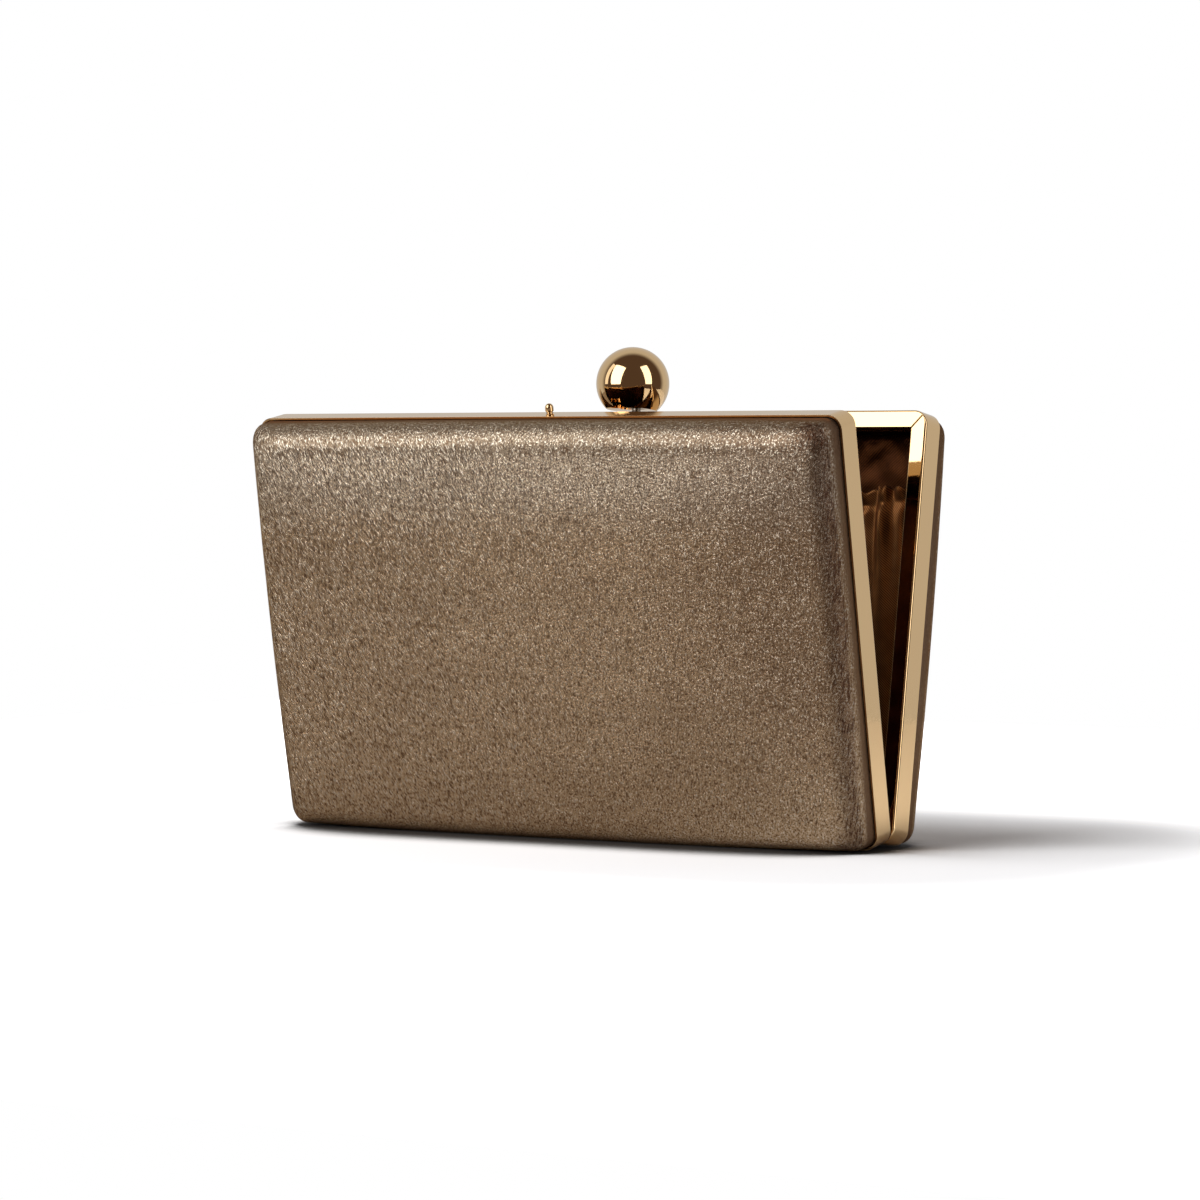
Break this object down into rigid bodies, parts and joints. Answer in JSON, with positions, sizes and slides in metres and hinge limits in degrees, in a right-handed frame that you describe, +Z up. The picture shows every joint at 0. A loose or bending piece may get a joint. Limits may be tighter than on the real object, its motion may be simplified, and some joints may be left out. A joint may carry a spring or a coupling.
{
  "type": "hard box clutch",
  "caption": "Hard box clutch: leather covered trays in gold frames, hinged at the bottom, with a sprung ball clasp and satin lining.",
  "frame": {"origin": "centre of the bounding box's bottom face, on the surface that the open clutch stands on", "axes": "+X along the hinge, +Y from the half with the catch pin to the half with the ball, +Z up"},
  "size_m": [0.18, 0.0694, 0.1293],
  "materials": {
    "plated_gold": "polished light gold plating",
    "steel": "bright drawn",
    "bronze_leather": "bronze metallic, fine wrinkled grain",
    "foam": "soft foam sheet",
    "moulded_plastic": "moulded",
    "grey_board": "plain board",
    "brown_satin": "dark chocolate satin",
    "woven_elastic": "woven"
  },
  "bodies": {
    "rear_half": {"rear_frame": "plated_gold", "rear_leather": "bronze_leather", "rear_padding": "foam", "rear_shell": "moulded_plastic", "rear_lining_card": "grey_board", "rear_lining": "brown_satin", "pocket": "brown_satin", "pocket_elastic": "woven_elastic", "hinge_pin_left": "steel", "hinge_pin_right": "steel", "clasp_pivot_pin": "steel", "clasp_spring": "steel"},
    "front_half": {"front_frame": "plated_gold", "front_leather": "bronze_leather", "front_padding": "foam", "front_shell": "moulded_plastic", "front_lining_card": "grey_board", "front_lining": "brown_satin", "catch_pin": "plated_gold"},
    "clasp": {"clasp_ball": "plated_gold", "clasp_lever": "steel"}
  },
  "joints": [
    {"name": "main_hinge", "type": "hinge", "parent": "rear_half", "child": "front_half", "pos_m": [0, 0, 0.00234], "axis": [1, 0, 0], "range_deg": [-19.4, 70.6]},
    {"name": "clasp_tilt", "type": "hinge", "parent": "rear_half", "child": "clasp", "pos_m": [0, 0.0205, 0.10505], "axis": [-1, 0, 0], "range_deg": [0, 10], "stiffness_Nm_per_rad": 0.1, "springref_deg": -9.74, "deforming": ["clasp_spring"]}
  ]
}
